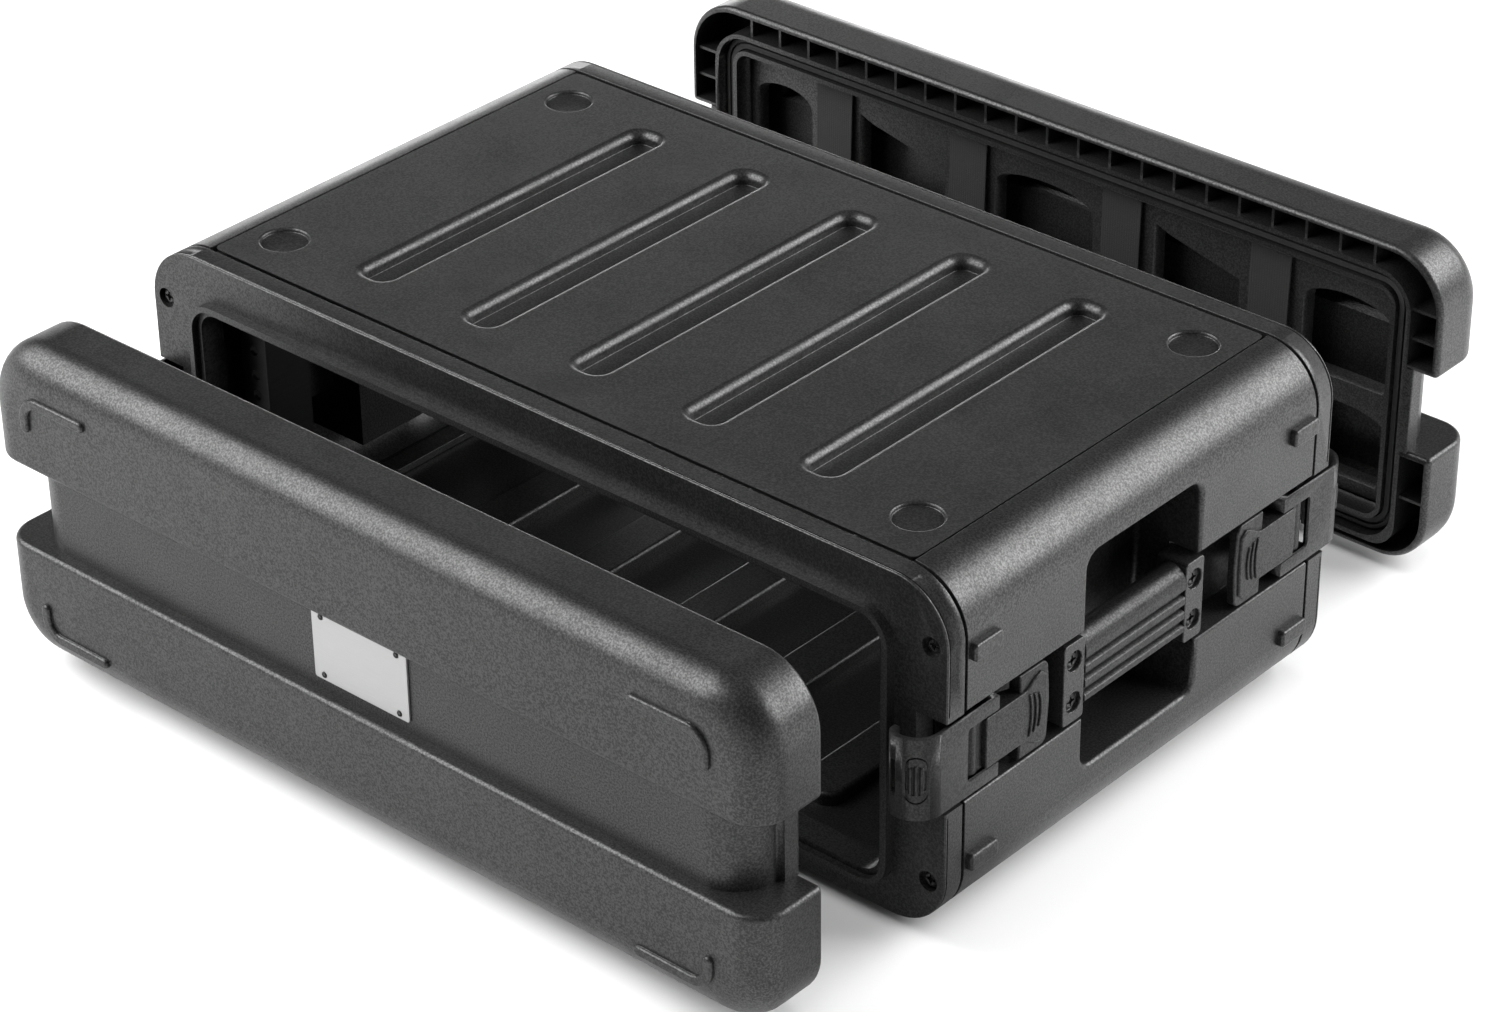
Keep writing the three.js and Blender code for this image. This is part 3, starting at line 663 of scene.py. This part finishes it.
def lever():
    """Barrel round its pin, neck and tongue, and a wide head with a ridged crown."""
    barrel = rod(*PIN, 5.2, *band(NECK_HALF), "z", 32)
    neck = stack([(274, 25), (279, 24), (283.6, 26), (283.6, 63), (278.5, 63), (275, 52),
                  (271.5, 40), (272, 33)], [(0, LATCH_Z - NECK_HALF), (0, LATCH_Z + NECK_HALF)], "z")
    tongue = slab(rounded(30.5, 64, *band(NECK_HALF), 1.2, steps=3), 281, LEVER_FACE, "x", high_r=0.8)
    wings = slab([(59, LATCH_Z - HEAD_HALF), *arc(77, LATCH_Z - HEAD_HALF + 5, 5, 270, 350, 5),
                  (83, LATCH_Z - 8), (83.4, LATCH_Z), (83, LATCH_Z + 8),
                  *arc(77, LATCH_Z + HEAD_HALF - 5, 5, 10, 90, 5), (59, LATCH_Z + HEAD_HALF)],
                 277.5, 285.0, "x", low_r=0.6, high_r=1.2)
    crown = slab([(60, LATCH_Z - 15), (64, LATCH_Z - 16), (69, LATCH_Z - 19.5), (75, LATCH_Z - 21.5),
                  (79.5, LATCH_Z - 18), (80.3, LATCH_Z), (79.5, LATCH_Z + 18), (75, LATCH_Z + 21.5),
                  (69, LATCH_Z + 19.5), (64, LATCH_Z + 16), (60, LATCH_Z + 15)],
                 281, LEVER_FACE, "x", high_r=1.3)
    ridges = [slab(bowed(y, half, 1.5, 1.6), 285, LEVER_FACE + 1.0, "x", high_r=0.6)
              for y, half in ((66.5, 12.5), (70.3, 11.5), (74.1, 10.0))]
    lift = stack([(277, 84.5), (277, 70), (281, 84.5)], [(0, 60), (0, 150)], "z")
    bores = [rod(*PIN, 2.8, 60, 150, "z"), rod(*LINK, 2.45, 60, 150, "z")]
    return cut(add(barrel, neck, tongue, wings, crown, *ridges), lift, *bores)


def on_bend(degrees, lift):
    """x and y of a point on the hook's bend, lifted off its outer skin."""
    turn = math.radians(degrees)
    cx, cy = HOOK_BEND
    return cx + (BEND_R + lift) * math.cos(turn), cy + (BEND_R + lift) * math.sin(turn)


def strap():
    """Runs forward from the lever and hooks round the cover's flange."""
    tip = (268, -14.5)
    plan = [(283, 41), *arc(*HOOK_BEND, BEND_R - 3, 0, -90, 12), *arc(*tip, 2.5, 270, 180, 6), (265.5, -12),
            (262.5, -12), *arc(*tip, 5.5, 180, 270, 8), *arc(*HOOK_BEND, BEND_R, -90, 0, 14), (286, 41)]
    body = stack(plan, [(0, LATCH_Z - STRAP_HALF), (0, LATCH_Z + STRAP_HALF)], "z")
    window = stack(rounded(16.5, 60, *band(16), 2.2, steps=4), [(0, 278), (0, 292)], "x")
    ear = [(276, 31), (284, 31), (284, 41), (276, 41), (272.6, 39.5), (271.6, 36.5), (272.6, 33.5)]
    ears = [stack(ear, [(0, low), (0, high)], "z")
            for low, high in ((LATCH_Z - STRAP_HALF, LATCH_Z - 16), (LATCH_Z + 16, LATCH_Z + STRAP_HALF))]
    slot = stack(rounded(266, 269.4, *band(10), 0.8, steps=2), [(0, -30), (0, -10)], "y")
    body = eased(add(cut(body, window, slot), *ears), 0.7)
    # oval finger pad: a narrow oval groove, with four hollows and three ridges inside it
    facing = Matrix.Translation((*on_bend(PAD_AT, 0), LATCH_Z))
    facing = facing @ Matrix.Rotation(math.radians(PAD_AT), 4, "Z")
    ring = cut(stack(rounded(-6.2, 6.2, -14, 14, 6.1, steps=8), [(0, -2.0), (0, 4)], "x"),
               stack(rounded(-5.3, 5.3, -13.1, 13.1, 5.2, steps=8), [(0, -4), (0, 6)], "x"))
    hollows = [slab(circle(*on_bend(PAD_AT + step, 0.2), 1.0, 12), *band(half), "z", low_r=0.9, high_r=0.9)
               for step, half in ((-15.5, 6.0), (-5.2, 8.8), (5.2, 8.8), (15.5, 6.0))]
    body = cut(body, moved(ring, facing), *hollows)
    ridges = [slab(circle(*on_bend(PAD_AT + step, -0.35), 1.15, 16), *band(half), "z", low_r=1.0, high_r=1.0)
              for step, half in ((-10.4, 8.0), (0, 9.2), (10.4, 8.0))]
    link = rod(*LINK, 2.1, LATCH_Z - 20, LATCH_Z + 20, "z")
    return add(body, *ridges, link)


# ---- covers --------------------------------------------------------------------------
# A cover is drawn with its rim at y = 0 and its outer face at y = -COVER_D.

COVER_HALF = 278.0
COVER_Z = (4.0, 202.0)
WAIST_Z = (77.0, 129.0)
CORE_HALF = 258.0  # inside of the hollows in the bumpers
CORE_Z = (10.0, 186.0)
EDGE_R = 20.0
LOWER_EDGE_R = 24.0
BUMPER_EASE = 3.2
SKIN = 3.5
RIB_PITCH = 23.0
RIB_HALF = 0.9
MARK_OUT = 2.2
SEAL_HALF = 246.5  # inside of the gasket
SEAL_Z = (21.5, 174.5)
SEAL_R = 12


def bumper(inside, depth, steps, corner_steps):
    """Solid outline of both bumpers, with rounded edges all round its outer face."""
    start = depth - (LOWER_EDGE_R - inside)

    def ring(a, b):
        return rounded(-COVER_HALF + inside + a, COVER_HALF - inside - a, COVER_Z[0] + inside + b,
                       COVER_Z[1] - inside - a, 30 - inside - b * 0.5, 36 - inside - a * 0.5, corner_steps)

    def turned(radius, at):
        past = max(at - (depth - radius), 0)
        return radius - math.sqrt(max(radius ** 2 - past ** 2, 0))

    loops = [[(x, 2.0 if inside else 0.0, z) for x, z in ring(0, 0)]]
    for i in range(steps + 1):
        at = start + (depth - start) * math.sin(math.pi / 2 * i / steps)
        edge = ring(turned(EDGE_R - inside, at), turned(LOWER_EDGE_R - inside, at))
        loops.append([(x, -at, z) for x, z in edge])
    return skin(loops)


def corner_mark(side, corner_z, end_z):
    """Raised bar that turns a rounded corner at corner_z and ends at end_z."""
    up = 1 if end_z > corner_z else -1
    edge, turn, half = 247.0, 14.0, 3.0
    reach = abs(end_z - corner_z)
    outline = [*arc(edge - half, reach - half, half, 0, 180, 8),
               *arc(edge - turn, turn, turn - 2 * half, 0, -90, 8),
               *arc(195 + half, half, half, 90, 270, 8), *arc(edge - turn, turn, turn, -90, 0, 8)]
    outline = [(side * x, corner_z + up * z) for x, z in outline]
    if side * up < 0:
        outline.reverse()
    return slab(outline, -COVER_D - MARK_OUT, -COVER_D + 2, "y", low_r=1.5)


def cover_shell():
    big = 400
    above, below = (WAIST_Z[1], big), (-big, WAIST_Z[0])
    whole = (-big, big, -100, 10)
    bumpers = bumper(0, COVER_D, 12, 12)
    turn = 25
    waist_plan = [(CORE_HALF, 0), (-CORE_HALF, 0),
                  *arc(-CORE_HALF + turn, -WAIST_D + turn, turn, 180, 270, 12),
                  *arc(CORE_HALF - turn, -WAIST_D + turn, turn, 270, 360, 12)]
    waist = stack(waist_plan, [(0, 70), (0, 136)], "z")
    upper = eased(keep(bumpers.copy(), block(*whole, *above)), BUMPER_EASE, 5)
    lower = eased(keep(bumpers, block(*whole, *below)), BUMPER_EASE, 5)
    flange = block(-262, 262, -10, 0, WAIST_Z[0] - 1, WAIST_Z[1] + 1)
    shell = add(upper, lower, waist, flange)

    def prism(half, z0, z1, radius, y0, y1):
        return stack(rounded(-half, half, z0, z1, radius), [(0, y0), (0, y1)], "y")

    def core():
        outline = rounded(-CORE_HALF, CORE_HALF, *CORE_Z, 16, 24)
        return stack(outline, [(0, -60), (0, 10)], "y")

    inner = bumper(SKIN, COVER_D - SKIN, 5, 8)
    upper_hollow = cut(keep(inner.copy(), block(*whole, WAIST_Z[1] + SKIN, big)), core())
    lower_hollow = cut(keep(inner, block(*whole, -big, WAIST_Z[0] - SKIN)), core())
    shell = cut(shell, upper_hollow, lower_hollow)
    ribs = []
    for index in range(-10, 11):
        x = index * RIB_PITCH
        ribs.append(block(x - RIB_HALF, x + RIB_HALF, -30, -3, CORE_Z[1] - 2, COVER_Z[1]))
    for z in (45, 148, 166):
        for side in (-1, 1):
            across = sorted((side * (CORE_HALF - 2), side * COVER_HALF))
            ribs.append(block(*across, -24, -3, z - RIB_HALF, z + RIB_HALF))
    shell = add(shell, *[keep(rib, bumper(SKIN / 2, COVER_D, 5, 6)) for rib in ribs])
    gasket_groove = cut(prism(255, 13, 183, 20, -12.3, 6), prism(246, 22, 174, 12, -20, 8))
    mouth = prism(247, 21, 175, 12, -3, 6)
    pan = prism(243, 25, 171, 9, -WAIST_D + SKIN, 6)
    deep = prism(232, 30, 171, 9, -COVER_D + SKIN, 0)
    shell = cut(shell, gasket_groove, mouth, pan,
                keep(deep.copy(), block(*whole, WAIST_Z[1] + SKIN, 163)),
                keep(deep, block(*whole, 0, WAIST_Z[0] - SKIN)))
    marks = [corner_mark(side, *heights) for side in (-1, 1) for heights in ((177, 154), (22, 44))]
    return add(shell, *marks)


def gasket():
    """Hollow rubber seal: two rounded beads side by side round the rim."""
    def ring(out, low, high, top_r=0.0):
        edge = rounded(-SEAL_HALF - out, SEAL_HALF + out, SEAL_Z[0] - out, SEAL_Z[1] + out, SEAL_R + out)
        return slab(edge, low, high, "y", high_r=top_r)

    seal = cut(ring(8, -12, -6, 1.8), ring(0, -20, 0))
    furrow = cut(ring(4.6, -8.2, -2), ring(3.4, -20, 4))
    return cut(seal, furrow)


# Across the liner: the columns of pockets, and the middles of the straps between them
COLUMNS = ((-236, -192), (-152, -86), (-46, 26), (72, 132), (178, 236))
STRAP_X = (-171, -66, 49, 155)
STRAP_W = 28.0
STRAP_Z = (27.0, 169.0)


def liner():
    """Organiser: columns of pockets, arched or with a sloping lip, between the straps."""
    sheet = slab(rounded(-241.5, 241.5, 26.5, 169.5, 8), -24, -15, "y", low_r=0.5, high_r=1.6)
    pockets = []
    for index, (x0, x1) in enumerate(COLUMNS):
        middle, half = (x0 + x1) / 2, (x1 - x0) / 2
        for z0, shoulder, crown in ((36, 72, 82), (98, 140, 152)):
            if index % 2:
                outline = [(x0, z0), (x1, z0), (x1, shoulder - 4), (x0 + 10, crown - 4), (x0, crown)]
            else:
                turns = [math.pi * t / 16 for t in range(17)]
                rise = [(middle + half * math.cos(turn),
                         shoulder + (crown - shoulder) * math.sin(turn) ** 0.8) for turn in turns]
                outline = [(x0 + 3, z0), (x1 - 3, z0), (x1, z0 + 3), *rise, (x0, z0 + 3)]
            rings = [(1.0, -30), (1.0, -19), (0, -16.2), (-0.9, -14.9), (-0.9, 0)]
            pockets.append(stack(outline, rings, "y"))
    return cut(sheet, *pockets)


def liner_strap(x):
    """Flat woven strap drawn tight over the liner, a little proud of it along one edge."""
    low, high = STRAP_Z
    columns, rows = 8, 24
    loops = []
    for row in range(rows + 1):
        z = low + (high - low) * row / rows
        bulge = 1.6 * math.sin(math.pi * row / rows)
        ring = []
        for side, thick in ((1, 0.0), (-1, 0.9)):
            for c in range(columns + 1):
                t = c / columns if side > 0 else 1 - c / columns
                lift = bulge * (0.35 + 0.65 * t)
                ring.append((x - STRAP_W / 2 + STRAP_W * t, -13.6 + thick + lift, z))
        loops.append(ring)
    return skin(loops)


PLATE_BACK = -WAIST_D - 0.3


def rivets():
    """x and z of the four rivets, near the plate's corners."""
    (x0, _, z0), (x1, _, z1) = box_mm("name_plate")
    return [(x, z) for x in (x0 + 7, x1 - 7) for z in (z0 + 3.2, z1 - 3.2)]


def name_plate():
    """Blank brushed plate with a hole for each rivet."""
    (x0, _, z0), (x1, _, z1) = box_mm("name_plate")
    edge = rounded(x0, x1, z0, z1, 1.6, steps=4)
    plate = slab(edge, PLATE_BACK - 1.2, PLATE_BACK, "y", low_r=0.35)
    holes = [rod(x, z, 1.9, PLATE_BACK - 5, PLATE_BACK + 5, "y", 20) for x, z in rivets()]
    return cut(plate, *holes)


def place_covers():
    shell, seal = cover_shell(), gasket()
    to_front = Matrix.Translation((0, FRONT_RIM_Y, 0))
    to_rear = Matrix.Translation((0, REAR_RIM_Y, 0)) @ Matrix.Diagonal((1, -1, 1, 1))
    for end, move in (("front", to_front), ("rear", to_rear)):
        place(f"{end}_cover_shell_look", moved(shell, move), f"{end}_cover_shell")
        place(f"{end}_cover_gasket_look", moved(seal, move), f"{end}_cover_gasket", ease=0.3)
    place("name_plate_look", moved(name_plate(), to_front), "name_plate")
    for index, (x, z) in enumerate(rivets()):
        rivet = slab(circle(x, z, 1.75, 20), PLATE_BACK - 2.0, PLATE_BACK + 0.2, "y", low_r=0.9)
        place(f"plate_rivet_{index + 1}", moved(rivet, to_front), slot="black_steel", body="front_cover")
    place("rear_cover_liner_look", moved(liner(), to_rear),
          "rear_cover_left_liner", "rear_cover_right_liner")
    for index, x in enumerate(STRAP_X):
        strap_look = place(f"liner_strap_{index + 1}_look", moved(liner_strap(x), to_rear),
                           f"liner_strap_{index + 1}")


# ---- the whole case --------------------------------------------------------------------

# Edge rounding of the nodes that are kept as they come
EDGE = {"foot": 1.5, "pin": 0.4, "bracket": 0.9}

frame_mesh = end_frame()
place("front_frame_look", frame_mesh, "front_frame")
place("rear_frame_look", moved(frame_mesh, mirror_y(BODY_D / 2)), "rear_frame")
panel_mesh = top_panel()
place("top_panel_look", panel_mesh, "top_panel")
flip = Matrix.Translation((0, 0, BODY_H)) @ Matrix.Rotation(math.pi, 4, "Y")
place("bottom_panel_look", moved(panel_mesh, flip), "bottom_panel")
at_sides("side_shell", side_shell())
at_sides("handle_grip", handle_grip())
place_screws()
at_corners("rack_rail", rack_rail(), ease=0.2)
at_corners("latch_lever", lever())
at_corners("latch_strap", strap())
place_covers()

for node_name, node in NODES.items():
    if node.hide_render:
        continue
    paint(node, SLOT_OF[node_name])
    soften(node, next(EDGE[kind] for kind in EDGE if kind in node_name) * MM)


# ---- camera, light and floor -------------------------------------------------------------

CAMERA_AT = (1.3463, -1.5142, 1.2968)
CAMERA_TURN = (41.647, 31.604, -0.693)  # azimuth from the front, elevation and roll, in degrees
CAMERA_LENS = 101.3
CAMERA_SHIFT = 0.0154


def camera():
    """Looks down on the case from in front of its right-hand side."""
    azimuth, elevation, roll = (math.radians(angle) for angle in CAMERA_TURN)
    forward = -Vector((math.sin(azimuth) * math.cos(elevation),
                       -math.cos(azimuth) * math.cos(elevation), math.sin(elevation)))
    right = forward.cross(Vector((0, 0, 1))).normalized()
    up = right.cross(forward)
    right, up = (math.cos(roll) * right + math.sin(roll) * up,
                 math.cos(roll) * up - math.sin(roll) * right)
    data = bpy.data.cameras.new("camera")
    data.sensor_width = 36.0
    data.lens = CAMERA_LENS
    data.shift_y = CAMERA_SHIFT
    data.clip_end = 20
    obj = bpy.data.objects.new("camera", data)
    turn = Matrix((right, up, -forward)).transposed().to_4x4()
    obj.matrix_world = Matrix.Translation(CAMERA_AT) @ turn
    bpy.context.scene.collection.objects.link(obj)
    bpy.context.scene.camera = obj


def light(name, kind, place_at, aim, power, size, glossy=True):
    """An area light of a width and height in metres, or a sun whose size is an angle in degrees."""
    data = bpy.data.lights.new(name, kind)
    data.energy = power
    if kind == "AREA":
        data.shape = "RECTANGLE"
        data.size, data.size_y = size
    else:
        data.angle = math.radians(size[0])
    obj = bpy.data.objects.new(name, data)
    obj.location = place_at
    obj.visible_glossy = glossy
    obj.rotation_euler = (Vector(aim) - Vector(place_at)).to_track_quat("-Z", "Y").to_euler()
    bpy.context.scene.collection.objects.link(obj)


FLOOR_HALF = 6.0
FLOOR_Z = -0.0005
STRIP_FRONT = (-0.28, -0.19)  # y over which the painted reflection shade, darkest in its strip, fades in
STRIP_BACK = (-0.15, -0.05)  # y over which it fades out again


def floor():
    """Plain pale floor. Reflections see it darker, as painted shade for the case's faces: darkest in a strip
    beside the front cover, grey in front of that.
    """
    mesh = bpy.data.meshes.new("floor")
    half = FLOOR_HALF
    corners = [(-half, -half, 0), (half, -half, 0), (half, half, 0), (-half, half, 0)]
    mesh.from_pydata(corners, [], [(0, 1, 2, 3)])
    obj = bpy.data.objects.new("floor", mesh)
    obj.location.z = FLOOR_Z
    n = Nodes("pale_floor_reflection_shade")
    # glossy rays see a painted shade card instead of the pale floor: a dark strip beside the front cover,
    # grey in front of it
    glossy = n.add("ShaderNodeLightPath").outputs["Is Glossy Ray"]
    across = n.add("ShaderNodeSeparateXYZ", {"Vector": n.coord}).outputs["Y"]
    reflection_shade_strip = n.mix(n.remap(across, *STRIP_BACK, 0.0, 1.0), grey(0.25), grey(0.95))
    reflection_shade_card = n.mix(n.remap(across, *STRIP_FRONT, 0.0, 1.0), grey(0.75), reflection_shade_strip)
    n.finish(color=n.mix(glossy, grey(0.90), reflection_shade_card), roughness=0.8, specular=0.2)
    mesh.materials.append(n.mat)
    bpy.context.scene.collection.objects.link(obj)


def world():
    """White backdrop low down all round, dim above it."""
    scene_world = bpy.data.worlds.new("studio")
    scene_world.use_nodes = True
    tree = scene_world.node_tree
    background = tree.nodes["Background"]
    background.inputs["Color"].default_value = (1, 1, 1, 1)
    coord = tree.nodes.new("ShaderNodeTexCoord")
    split = tree.nodes.new("ShaderNodeSeparateXYZ")
    sweep = tree.nodes.new("ShaderNodeMapRange")
    sweep.interpolation_type = "SMOOTHSTEP"
    for key, value in {"From Min": 0.08, "From Max": 0.34, "To Min": 0.9, "To Max": 0.05}.items():
        sweep.inputs[key].default_value = value
    path = tree.nodes.new("ShaderNodeLightPath")
    # sockets 0, 2 and 3 are a value mix's factor and its two values
    level = tree.nodes.new("ShaderNodeMix")
    level.inputs[3].default_value = 1.0
    tree.links.new(coord.outputs["Generated"], split.inputs["Vector"])
    tree.links.new(split.outputs["Z"], sweep.inputs["Value"])
    tree.links.new(path.outputs["Is Camera Ray"], level.inputs[0])
    tree.links.new(sweep.outputs["Result"], level.inputs[2])
    tree.links.new(level.outputs[0], background.inputs["Strength"])
    bpy.context.scene.world = scene_world


bpy.context.scene.view_settings.view_transform = "Standard"
camera()
world()
floor()
light("overhead", "SUN", (0.3, -0.3, 3.0), (0, 0, 0), 1.4, (60, 0), glossy=False)
light("shoulder_softbox", "AREA", (1.5, 1.6, 1.35), (0.3, 0.1, 0.1), 90, (2.2, 1.4))
light("rim_softbox", "AREA", (-1.7, 1.75, 0.32), (0, 0, 0.2), 11, (1.6, 0.40))
light("front_softbox", "AREA", (-1.35, -1.25, 1.45), (-0.2, -0.3, 0.1), 90, (2.2, 1.8))
